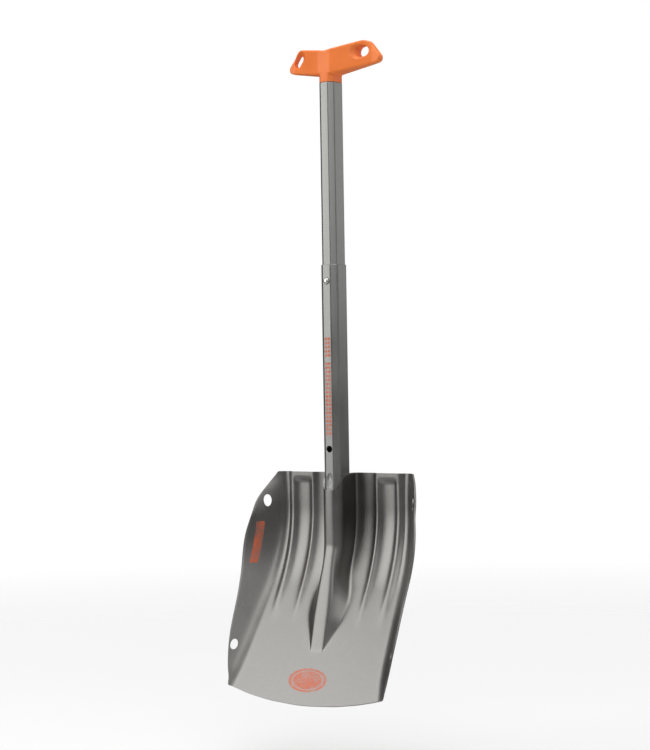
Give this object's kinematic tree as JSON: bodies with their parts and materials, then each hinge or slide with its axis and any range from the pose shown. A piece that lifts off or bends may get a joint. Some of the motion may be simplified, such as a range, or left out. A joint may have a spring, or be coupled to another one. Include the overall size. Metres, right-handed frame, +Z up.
{
  "type": "avalanche shovel",
  "caption": "Collapsible snow shovel with a stamped aluminium blade, a telescoping eight-sided shaft with snap buttons and a winged T-grip.",
  "frame": {"origin": "middle of the grip, on the shaft's axis", "axes": "+Z up the shaft from the blade to the grip, -Y towards the blade's hollow front, +X to the right when looking into the hollow"},
  "size_m": [0.2668, 0.1105, 0.8295],
  "materials": {
    "blade_aluminium": "satin, matt-anodised grey",
    "shaft_aluminium": "satin, drawn lengthwise",
    "steel": "bright",
    "grip_plastic": "orange, fine texture",
    "plug_plastic": "black"
  },
  "bodies": {
    "handle": {"grip": "grip_plastic", "grip_rivet": "steel", "inner_tube": "shaft_aluminium", "inner_tube_plug": "plug_plastic", "upper_leaf_spring": "steel"},
    "upper_button": {"upper_snap_button": "steel"},
    "lower_shaft": {"outer_tube": "shaft_aluminium", "outer_tube_plug": "plug_plastic", "lower_leaf_spring": "steel"},
    "lower_button": {"lower_snap_button": "steel"},
    "blade": {"blade": "blade_aluminium", "rear_socket_plate": "blade_aluminium"}
  },
  "joints": [
    {"name": "telescope", "type": "slide", "parent": "handle", "child": "lower_shaft", "axis": [0, 0, 1], "range_m": [0, 0.213], "deforming": ["upper_snap_button", "upper_leaf_spring"]},
    {"name": "upper_button_press", "type": "slide", "parent": "handle", "child": "upper_button", "axis": [0, 1, 0], "range_m": [0, 0.004], "stiffness_N_per_m": 1200, "deforming": ["upper_leaf_spring"]},
    {"name": "blade_removal", "type": "slide", "parent": "lower_shaft", "child": "blade", "axis": [0, 0, -1], "range_m": [0, 0.085], "deforming": ["lower_snap_button", "lower_leaf_spring"]},
    {"name": "lower_button_press", "type": "slide", "parent": "lower_shaft", "child": "lower_button", "axis": [0, -1, 0], "range_m": [0, 0.0046], "stiffness_N_per_m": 1200, "deforming": ["lower_leaf_spring"]}
  ]
}
